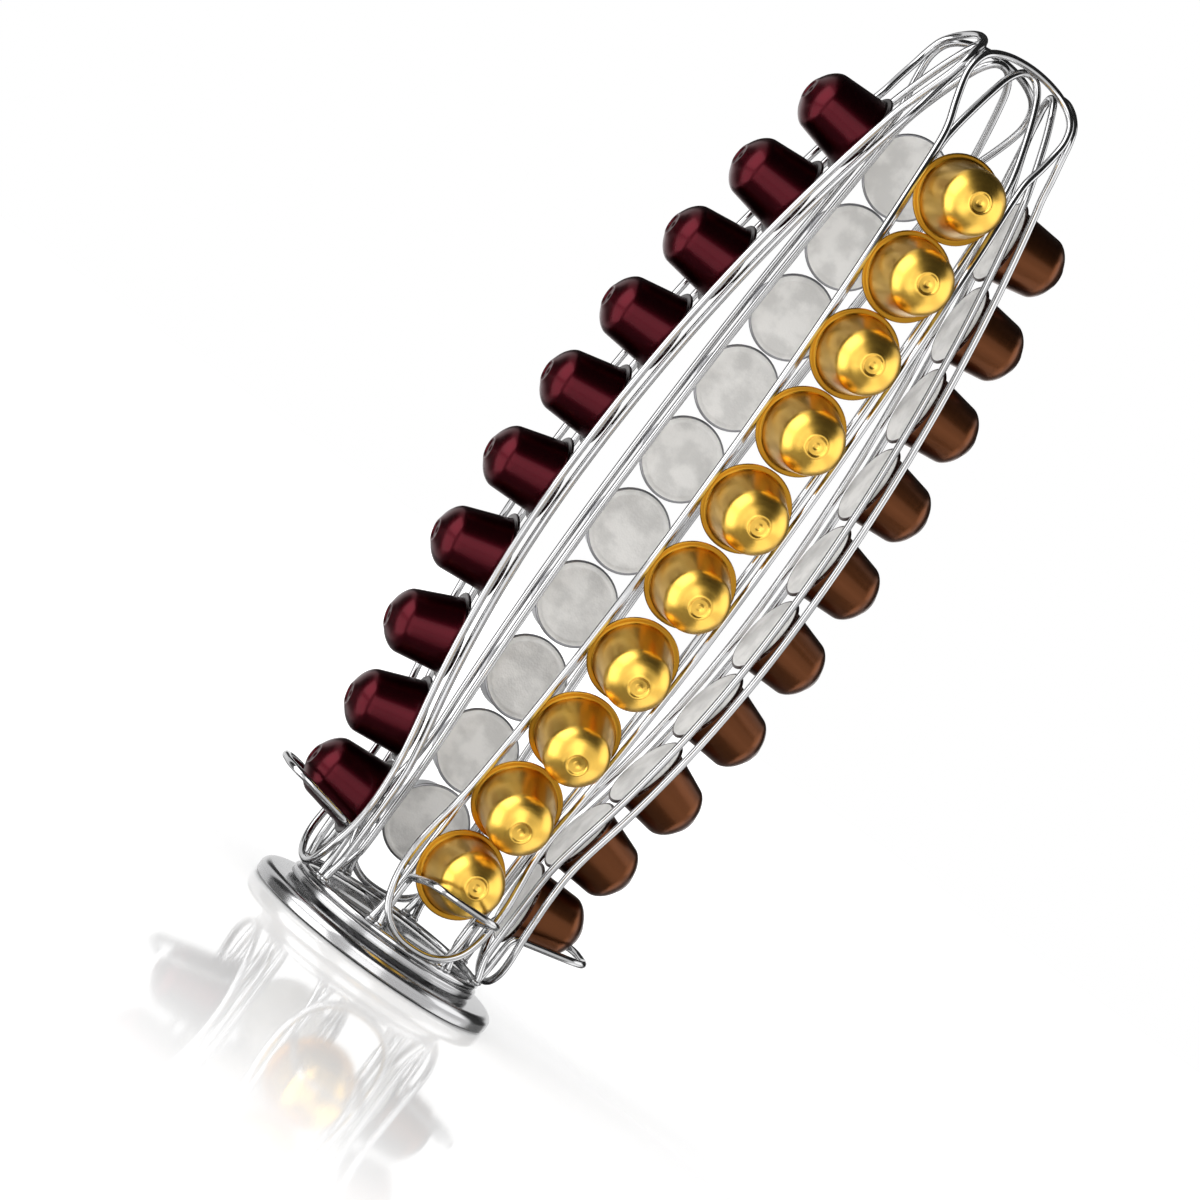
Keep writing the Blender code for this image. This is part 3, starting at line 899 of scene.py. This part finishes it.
class DISPENSER_OT_floor_ring(bpy.types.Operator):
    """The ring that the wires are welded to"""

    bl_idname = "dispenser.floor_ring"
    bl_label = "Floor Ring"

    def execute(self, context):
        look = once("chrome_wire_look", chrome, context.scene.dispenser_wires)
        ring = arc((0.0, 0.0), FLOOR_RING_RADIUS, 0.0, 360.0, FLOOR_RING_POINTS)[:-1]
        points = [(across, out, FLOOR_RING_UP) for across, out in ring]
        piece = bend_wire("floor_ring_wire", points, True)
        settle(piece, Matrix.Identity(4), [look], "carousel", "chrome_wire", "floor_ring")
        return {"FINISHED"}


class DISPENSER_OT_welds(bpy.types.Operator):
    """Weld beads where the wires meet the ring and each other"""

    bl_idname = "dispenser.welds"
    bl_label = "Weld Beads"

    def execute(self, context):
        look = once("weld_look", weld_metal, context.scene.dispenser_wires)
        shape = self.shape()
        for column, turn, _ in COLUMNS:
            beads = []
            for number, (middle, size, along) in enumerate(WELDS, start=1):
                bead = copy_of(shape, f"{column}_weld_{number}")
                across, out, up = middle
                x, y, z = along
                aim = Vector((x, -y, z)).to_track_quat("Z", "Y").to_matrix().to_4x4()
                place = Matrix.Translation((across * MM, -out * MM, up * MM)) @ aim
                bead.data.transform(place @ Matrix.Diagonal((*size, 1.0)))
                beads.append(bead)
            pick(beads[0])
            for bead in beads:
                bead.select_set(True)
            bpy.ops.object.join()
            piece = bpy.context.object
            piece.name = f"{column}_welds"
            settle(piece, Matrix.Rotation(turn, 4, "Z"), [look], "carousel", "chrome_wire")
        drop(shape)
        return {"FINISHED"}

    def shape(self):
        """One lumpy bead, 1 mm in radius, smoothed a little."""
        clear_selection()
        bpy.ops.mesh.primitive_uv_sphere_add(segments=20, ring_count=12, radius=MM)
        piece = bpy.context.object
        piece.name = "weld_shape"
        bpy.ops.object.mode_set(mode="EDIT")
        bpy.ops.mesh.select_all(action="SELECT")
        bpy.ops.transform.vertex_random(offset=WELD_LUMPS * MM, seed=4)
        bpy.ops.mesh.vertices_smooth(factor=0.4, repeat=2)
        bpy.ops.object.mode_set(mode="OBJECT")
        bpy.ops.object.shade_smooth_by_angle(angle=math.radians(WELD_CREASE))
        return piece


class DISPENSER_OT_capsules(bpy.types.Operator):
    """Every capsule of every column"""

    bl_idname = "dispenser.capsules"
    bl_label = "Capsules"

    def execute(self, context):
        capsules = context.scene.dispenser_capsules
        foil = once("lid_foil_look", lid_foil, capsules.foil)
        shape = self.shape(capsules.sides)
        for column, turn, colour in COLUMNS:
            slot = f"{colour}_foil"
            looks = [once(f"{slot}_look", lacquer, getattr(capsules, colour)), foil]
            for number, (out, up, tilt) in enumerate(capsule_seats(), start=1):
                node = f"{column}_capsule_{number:02d}"
                piece = copy_of(shape, f"{node}_shell")
                place = Matrix.Rotation(turn, 4, "Z")
                place = place @ Matrix.Translation((0.0, -out * MM, up * MM))
                place = place @ Matrix.Rotation(math.pi / 2 - tilt, 4, "X")
                body = f"{column}_top_capsule" if number == 1 else "carousel"
                settle(piece, place, looks, body, slot, node)
        drop(shape)
        return {"FINISHED"}

    def shape(self, sides):
        """One capsule round the Z axis, lid down, with its lid in the second finish."""
        profile = LID_PROFILE + SHELL_PROFILE
        piece = turn_profile("capsule_shape", profile, sides, closed=False, crease=CAPSULE_CREASE)
        for face in piece.data.polygons:
            spot = face.center
            radius = math.hypot(spot.x, spot.y)
            on_lid = spot.z < FOIL_HEIGHT * MM and radius < FOIL_RADIUS * MM
            face.material_index = 1 if on_lid else 0
        places = piece.data.attributes.new(PLACE, "FLOAT_VECTOR", "POINT")
        for entry, vertex in zip(places.data, piece.data.vertices):
            entry.vector = vertex.co
        return piece


class DISPENSER_OT_base(bpy.types.Operator):
    """Base plate, pad, bearing, rivet, turntable and floor cross"""

    bl_idname = "dispenser.base"
    bl_label = "Base and Turntable"

    def execute(self, context):
        base = context.scene.dispenser_base
        plate = once("chrome_plate_look", plate_chrome, context.scene.dispenser_wires)
        steel = once("zinc_look", zinc)
        here = Matrix.Identity(4)

        shape = self.plate_profile(base.base_radius / MM)
        piece = turn_profile("base_plate_shell", shape, base.sides, True, PLATE_CREASE)
        settle(piece, here, [plate], "base", "chrome_plate", "base_plate")

        shape = self.turntable_profile(base.turntable_radius / MM)
        piece = turn_profile("turntable_shell", shape, base.sides, True, PLATE_CREASE)
        settle(piece, here, [plate], "carousel", "chrome_plate", "turntable")

        shape = self.rivet_profile()
        piece = turn_profile("centre_rivet_domed", shape, RIVET_SIDES, False, PLATE_CREASE)
        settle(piece, here, [steel], "base", "zinc_steel", "centre_rivet")

        looks = {
            "floor_cross": plate,
            "lower_race": steel,
            "ball_cage": steel,
            "base_pad": once("rubber_look", rubber),
        }
        for name, look in looks.items():
            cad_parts[name].material_slots[0].material = look
        return {"FINISHED"}

    def plate_profile(self, radius):
        """Pressed plate: flat top, rolled rim with a rounded lower edge, hollow underneath."""
        roll = (radius - BASE_ROLL, BASE_TOP - BASE_ROLL)
        edge = BASE_SHEET / 2
        rim = (radius - edge, BASE_RIM_UP + edge)
        return [
            (HOLE, BASE_TOP),
            (HOLE + HOLE_FLAT_MARGIN, BASE_TOP),
            (radius - BASE_FLAT_MARGIN, BASE_TOP),
            *arc(roll, BASE_ROLL, 90.0, 0.0, 12),
            *arc(rim, edge, 0.0, -180.0, 8),
            *arc(roll, BASE_ROLL - BASE_SHEET, 0.0, 90.0, 8),
            (HOLE, BASE_TOP - BASE_SHEET),
        ]

    def turntable_profile(self, radius):
        """Turning plate: rounded edge and a turned-down lip."""
        corner = (radius - TABLE_ROUND, TABLE_TOP - TABLE_ROUND)
        edge = TABLE_LIP_SHEET / 2
        lip = (radius - edge, TABLE_LIP_UP + edge)
        return [
            (HOLE, TABLE_TOP),
            (HOLE + HOLE_FLAT_MARGIN, TABLE_TOP),
            (radius - TABLE_FLAT_MARGIN, TABLE_TOP),
            *arc(corner, TABLE_ROUND, 90.0, 0.0, 6),
            *arc(lip, edge, 0.0, -180.0, 6),
            (radius - TABLE_LIP_SHEET, TABLE_UNDER),
            (HOLE, TABLE_UNDER),
        ]

    def rivet_profile(self):
        """Rivet with a domed head at each end, from the lower pole to the upper one."""
        rise = RIVET_TOP - RIVET_GRIP_TOP
        dome = [(RIVET_HEAD * math.cos(turn), rise * math.sin(turn)) for turn in RIVET_DOME]
        return [
            *[(radius, RIVET_GRIP_BOTTOM - up) for radius, up in reversed(dome)],
            (RIVET_HEAD, RIVET_GRIP_BOTTOM),
            (RIVET_SHAFT, RIVET_GRIP_BOTTOM),
            (RIVET_SHAFT, RIVET_GRIP_TOP),
            (RIVET_HEAD, RIVET_GRIP_TOP),
            *[(radius, RIVET_GRIP_TOP + up) for radius, up in dome],
        ]


class DISPENSER_OT_stage(bpy.types.Operator):
    """Floor, white surroundings, lamps, dark cards and the camera"""

    bl_idname = "dispenser.stage"
    bl_label = "Stage"

    def execute(self, context):
        stage = context.scene.dispenser_stage
        self.floor(stage)
        self.surroundings(stage.daylight)
        for lamp in LAMPS:
            self.lamp(*lamp)
        for card in CARDS:
            self.card(*card)
        self.camera(stage)
        context.scene.view_settings.view_transform = "Standard"
        return {"FINISHED"}

    def floor(self, stage):
        """A pale table top, polished where the tower stands."""
        clear_selection()
        bpy.ops.mesh.primitive_plane_add(size=FLOOR_SIZE, location=(0.0, 0.0, 0.0))
        top = bpy.context.object
        top.name = "table_top"
        finish = Finish(bpy.data.materials.new("table_top_look"))
        cloud = finish.noise(finish.places(), scale=6.0, detail=2.0)
        radius = finish.length(finish.places((1.0, 1.0, 0.0)))
        glow = finish.seen() * finish.between(radius, *GLOW_RADII, *GLOW_SHARES)
        plain = finish.principled(
            Base_Color=finish.tint(cloud, *FLOOR_GREYS),
            Roughness=FLOOR_ROUGHNESS,
            Emission_Color=finish.tint(glow, (0.0, 0.0, 0.0), (1.0, 1.0, 1.0)),
            Emission_Strength=FLOOR_GLOW,
        )
        sockets = {"Color": POLISH_COLOUR, "Roughness": POLISH_ROUGHNESS}
        polish = finish.node("ShaderNodeBsdfGlossy", {}, sockets)
        share = self.polish_share(finish, radius, stage.mirror)
        sockets = {0: share, 1: plain, 2: polish}
        finish.shown(finish.node("ShaderNodeMixShader", {}, sockets))
        top.data.materials.append(finish.data)

    def polish_share(self, finish, radius, mirror):
        """How far the floor is polished: for the camera near the tower, for metal all round it."""
        behind = finish.part(finish.places(), "Y")
        near = finish.between(behind, *FRONT_TO_BACK, *IMAGE_NEAR_RADII)
        far = finish.between(behind, *FRONT_TO_BACK, *IMAGE_FAR_RADII)
        grazing = finish.node("ShaderNodeFresnel", {}, {"IOR": POLISH_IOR})
        image = finish.between(radius, near, far, mirror, 0.0) * grazing
        image = image * finish.between(radius, *BASE_IMAGE_RADII, *BASE_IMAGE_SHARES)
        mirrored = finish.between(radius, *MIRRORED_RADII, *MIRRORED_SHARES)
        direct = finish.ray("Is Camera Ray")
        return image * direct + mirrored * (1.0 - direct)

    def surroundings(self, daylight):
        """White all round, and daylight on the object."""
        world = bpy.data.worlds.new("studio")
        bpy.context.scene.world = world
        air = Finish(world)
        strength = air.seen() * (1.0 - daylight) + daylight
        sockets = {"Color": (1.0, 1.0, 1.0, 1.0), "Strength": strength}
        air.shown(air.node("ShaderNodeBackground", {}, sockets), "ShaderNodeOutputWorld")

    def around(self, turn, lift, distance):
        """A place round the tower, seen from its middle."""
        turn = math.radians(turn)
        lift = math.radians(lift)
        level = distance * math.cos(lift)
        return Vector((math.sin(turn) * level, -math.cos(turn) * level, distance * math.sin(lift)))

    def lamp(self, name, turn, lift, distance, size, power):
        """A square lamp that faces the tower."""
        spot = self.around(turn, lift, distance)
        clear_selection()
        bpy.ops.object.light_add(type="AREA", location=LOOK_AT + spot)
        lamp = bpy.context.object
        lamp.name = name
        lamp.data.shape = "SQUARE"
        lamp.data.size = size
        lamp.data.energy = power
        lamp.rotation_euler = (-spot).to_track_quat("-Z", "Y").to_euler()

    def card(self, name, turn, lift, distance, width, height):
        """A dark card with soft edges that only mirrors show: it casts no shadow."""
        spot = self.around(turn, lift, distance)
        aim = (-spot).to_track_quat("Z", "Y").to_euler()
        clear_selection()
        bpy.ops.mesh.primitive_plane_add(size=1.0, location=LOOK_AT + spot, rotation=aim)
        card = bpy.context.object
        card.name = name
        card.scale = (width, height, 1.0)
        bpy.ops.object.transform_apply(location=True, rotation=True, scale=True)
        finish = Finish(bpy.data.materials.new(f"{name}_look"))
        corner = finish.node("ShaderNodeTexCoord", {}, {}, "UV")
        sockets = {"Vector": corner, "Location": (-0.5, -0.5, 0.0)}
        middle = finish.node("ShaderNodeMapping", {}, sockets)
        off = finish.node("ShaderNodeVectorMath", {"operation": "ABSOLUTE"}, {0: middle}, "Vector")
        fades = [
            1.0 - finish.between(finish.part(off, axis), 0.5 - CARD_EDGE, 0.5) for axis in "XY"
        ]
        grey = (CARD_GREY, CARD_GREY, CARD_GREY, 1.0)
        finish.close(Base_Color=grey, Roughness=1.0, Alpha=fades[0] * fades[1])
        card.data.materials.append(finish.data)
        card.visible_camera = False
        card.visible_diffuse = False
        card.visible_shadow = False

    def camera(self, stage):
        """The photograph's viewpoint, with its lean."""
        clear_selection()
        turn = stage.azimuth
        away = Vector((math.sin(turn), -math.cos(turn), 0.0))
        right = Vector((math.cos(turn), math.sin(turn), 0.0))
        spot = away * stage.distance + Vector((0.0, 0.0, stage.height))
        aim = right * AIM_ASIDE * MM + Vector((0.0, 0.0, AIM_UP * MM))
        bpy.ops.object.camera_add(location=spot)
        camera = bpy.context.object
        camera.name = "photo_camera"
        camera.data.lens = stage.lens
        camera.data.sensor_width = SENSOR_WIDTH
        camera.rotation_mode = "QUATERNION"
        lean = Quaternion((0.0, 0.0, 1.0), stage.roll)
        camera.rotation_quaternion = (aim - spot).to_track_quat("-Z", "Y") @ lean
        bpy.context.scene.camera = camera


class DISPENSER_PT_panel(bpy.types.Panel):
    """The dispenser's pieces"""

    bl_idname = "DISPENSER_PT_panel"
    bl_label = "Coffee Capsule Dispenser"
    bl_space_type = "VIEW_3D"
    bl_region_type = "UI"
    bl_category = "Dispenser"

    def draw(self, context):
        for group, kind in GROUPS.items():
            settings = getattr(context.scene, group)
            box = self.layout.box()
            for entry in kind.__annotations__:
                box.prop(settings, entry)
        for step in STEPS:
            self.layout.operator(step.bl_idname)


GROUPS = {
    "dispenser_wires": WireSettings,
    "dispenser_capsules": CapsuleSettings,
    "dispenser_base": BaseSettings,
    "dispenser_stage": StageSettings,
}
STEPS = (
    DISPENSER_OT_wires,
    DISPENSER_OT_floor_ring,
    DISPENSER_OT_welds,
    DISPENSER_OT_capsules,
    DISPENSER_OT_base,
    DISPENSER_OT_stage,
)


def register():
    """Make the settings, operators and panel known."""
    for kind in (*GROUPS.values(), *STEPS, DISPENSER_PT_panel):
        bpy.utils.register_class(kind)
    for name, kind in GROUPS.items():
        setattr(bpy.types.Scene, name, bpy.props.PointerProperty(type=kind))


def unregister():
    """Take them out again."""
    for name in GROUPS:
        delattr(bpy.types.Scene, name)
    for kind in reversed((*GROUPS.values(), *STEPS, DISPENSER_PT_panel)):
        bpy.utils.unregister_class(kind)


def main():
    """Build everything in order."""
    register()
    bpy.ops.dispenser.wires()
    bpy.ops.dispenser.floor_ring()
    bpy.ops.dispenser.welds()
    bpy.ops.dispenser.capsules()
    bpy.ops.dispenser.base()
    bpy.ops.dispenser.stage()


if __name__ == "__main__":
    main()
